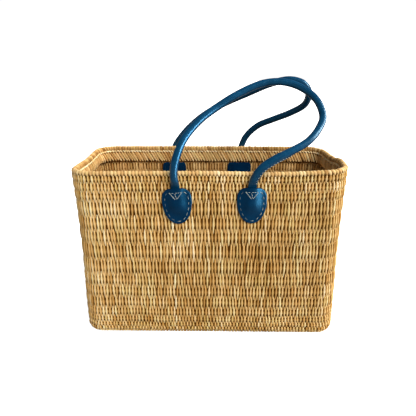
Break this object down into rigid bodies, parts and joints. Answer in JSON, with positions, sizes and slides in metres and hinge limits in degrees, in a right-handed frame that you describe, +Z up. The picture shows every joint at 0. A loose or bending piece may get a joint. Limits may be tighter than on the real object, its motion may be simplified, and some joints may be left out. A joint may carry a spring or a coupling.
{
  "type": "woven market tote",
  "caption": "Open rectangular rush basket with a folded-over rim, flaring walls and rolled leather carrying handles sewn on through leather tabs.",
  "frame": {"origin": "middle of the flat underside of the base, on the surface that the basket stands on", "axes": "+X along the wide front to the viewer's right, -Y out of the front, +Z up to the mouth"},
  "size_m": [0.4624, 0.2363, 0.4472],
  "materials": {
    "rush_weave": "golden split rush, woven in staggered spindles",
    "rush_border": "golden rush, wrapped and plaited",
    "rolled_leather": "blue semi-gloss leather",
    "tab_leather": "blue semi-gloss leather with pale stitching"
  },
  "bodies": {
    "root": {"basket_body": "rush_weave", "rim_border": "rush_border", "handle_front": "rolled_leather", "handle_back": "rolled_leather", "tab_front_left": "tab_leather", "tab_front_right": "tab_leather", "tab_back_left": "tab_leather", "tab_back_right": "tab_leather", "patch_front_left": "tab_leather", "patch_front_right": "tab_leather", "patch_back_left": "tab_leather", "patch_back_right": "tab_leather"}
  },
  "joints": []
}
